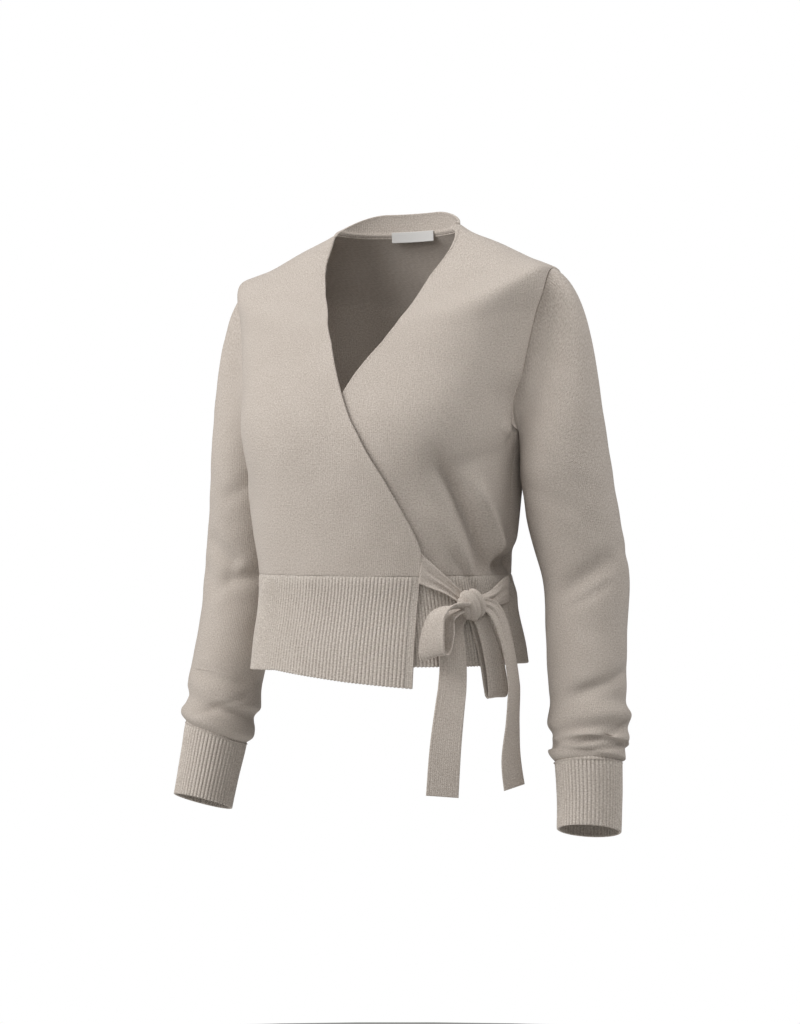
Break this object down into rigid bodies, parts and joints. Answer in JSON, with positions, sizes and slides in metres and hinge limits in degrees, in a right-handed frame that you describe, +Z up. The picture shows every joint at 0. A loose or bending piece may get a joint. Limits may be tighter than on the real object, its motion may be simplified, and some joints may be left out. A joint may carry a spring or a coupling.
{
  "type": "wrap cardigan",
  "caption": "Cropped fine-knit wrap cardigan with a deep V neck, long sleeves, rib hem and cuffs, and a side tie knotted in a bow, filled out as worn.",
  "frame": {"origin": "midway between the points where the shoulder seams meet the neck, which is where the wearer holds the garment up", "axes": "+Z up, -Y towards the front of the wearer, +X towards the wearer's left"},
  "size_m": [0.54, 0.25, 0.6549],
  "materials": {
    "plain_knit": "fine wool jersey, heathered oatmeal, slightly fuzzy",
    "rib_knit": "fine wool rib, heathered oatmeal",
    "tie_knit": "flat doubled wool jersey, heathered oatmeal",
    "woven_label": "bare off-white woven ribbon"
  },
  "bodies": {
    "root": {"back": "plain_knit", "front_left": "plain_knit", "front_right": "plain_knit", "hem_rib_back": "rib_knit", "hem_rib_front_left": "rib_knit", "hem_rib_front_right": "rib_knit", "sleeve_left": "plain_knit", "cuff_left": "rib_knit", "sleeve_right": "plain_knit", "cuff_right": "rib_knit", "neckband": "plain_knit", "neck_label": "woven_label", "bow_knot": "tie_knit", "tie_right_strap": "tie_knit", "tie_left_strap": "tie_knit", "bow_loop_front": "tie_knit", "bow_loop_back": "tie_knit", "bow_tail_front": "tie_knit", "bow_tail_back": "tie_knit"}
  },
  "joints": []
}
